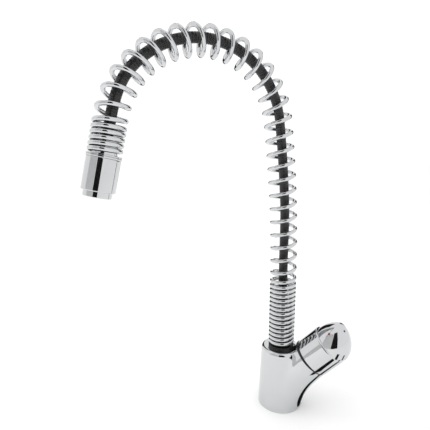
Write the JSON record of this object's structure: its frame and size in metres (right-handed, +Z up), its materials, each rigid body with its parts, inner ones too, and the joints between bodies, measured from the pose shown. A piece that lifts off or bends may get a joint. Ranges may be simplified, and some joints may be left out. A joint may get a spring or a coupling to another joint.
{
  "type": "kitchen mixer faucet",
  "caption": "Single-lever sink mixer with a slanted lever branch and a tall sprung spout that arches over to a hanging spray head.",
  "frame": {"origin": "centre of the underside of the foot, on the deck", "axes": "+Z up along the column; +X towards the lever branch; the spout is stored swivelled to 229.9 degrees from +X"},
  "size_m": [0.2172, 0.1892, 0.4061],
  "materials": {
    "chrome": "polished chrome plate",
    "spring_steel": "bright chromed spring wire",
    "hose_rubber": "black ribbed hose cover",
    "black_rubber": "matt black seal rubber",
    "brass": "turned brass",
    "blackened_brass": "brass with a black finish",
    "steel": "turned stainless steel",
    "steel_mesh": "fine woven screen",
    "white_plastic": "moulded",
    "black_plastic": "moulded",
    "chrome_plastic": "chrome-plated plastic",
    "ceramic": "lapped alumina ceramic",
    "red_enamel": "red enamel",
    "blue_enamel": "blue enamel"
  },
  "bodies": {
    "mixer": {"mixer_body": "chrome", "base_seal_ring": "black_rubber", "spout_retaining_screw": "steel", "cartridge_seals": "black_rubber", "cartridge_housing": "white_plastic", "fixed_ceramic_disc": "ceramic", "cartridge_nut": "brass", "cartridge_cover_ring": "black_plastic"},
    "cartridge_turn": {"cartridge_rotor": "white_plastic", "pivot_pin": "steel"},
    "disc_slider": {"moving_ceramic_disc": "ceramic", "disc_carrier": "white_plastic"},
    "lever": {"lever_stem": "steel", "handle_cap": "chrome", "handle_set_screw": "steel", "screw_cover_plug": "chrome_plastic", "index_dot_hot": "red_enamel", "index_dot_cold": "blue_enamel"},
    "spout": {"spout_slip_washer": "black_plastic", "spout_nipple": "blackened_brass", "spout_o_rings": "black_rubber", "lower_hose_ferrule": "steel", "spray_hose": "hose_rubber", "main_spring": "spring_steel"},
    "spray_end": {"spring_end_collar": "chrome", "upper_hose_ferrule": "steel", "spray_shell": "chrome", "spray_core": "black_plastic", "aerator_seal": "black_rubber", "nozzle_ring": "chrome", "aerator_insert": "white_plastic", "aerator_mesh": "steel_mesh"}
  },
  "joints": [
    {"name": "spout_swivel", "type": "hinge", "parent": "mixer", "child": "spout", "pos_m": [0, 0, 0.07], "axis": [0, 0, 1], "continuous": true},
    {"name": "spout_flex", "type": "hinge", "parent": "spout", "child": "spray_end", "pos_m": [0, 0, 0.24], "axis": [0.7649, -0.6441, 0], "range_deg": [-8, 18], "stiffness_Nm_per_rad": 10, "springref_deg": -1.15, "deforming": ["main_spring", "spray_hose"]},
    {"name": "temperature_turn", "type": "hinge", "parent": "mixer", "child": "cartridge_turn", "pos_m": [0.02963, 0, 0.0567], "axis": [0.6428, 0, 0.766], "range_deg": [-45, 45]},
    {"name": "lever_tilt", "type": "hinge", "parent": "cartridge_turn", "child": "lever", "pos_m": [0.02963, 0, 0.0567], "axis": [0, -1, 0], "range_deg": [0, 15]},
    {"name": "disc_slide", "type": "slide", "parent": "cartridge_turn", "child": "disc_slider", "axis": [0.766, 0, -0.6428], "range_m": [0, 0.00185]}
  ],
  "couplings": [
    {"joint": "disc_slide", "follows": "lever_tilt", "m_per_rad": 0.007}
  ]
}
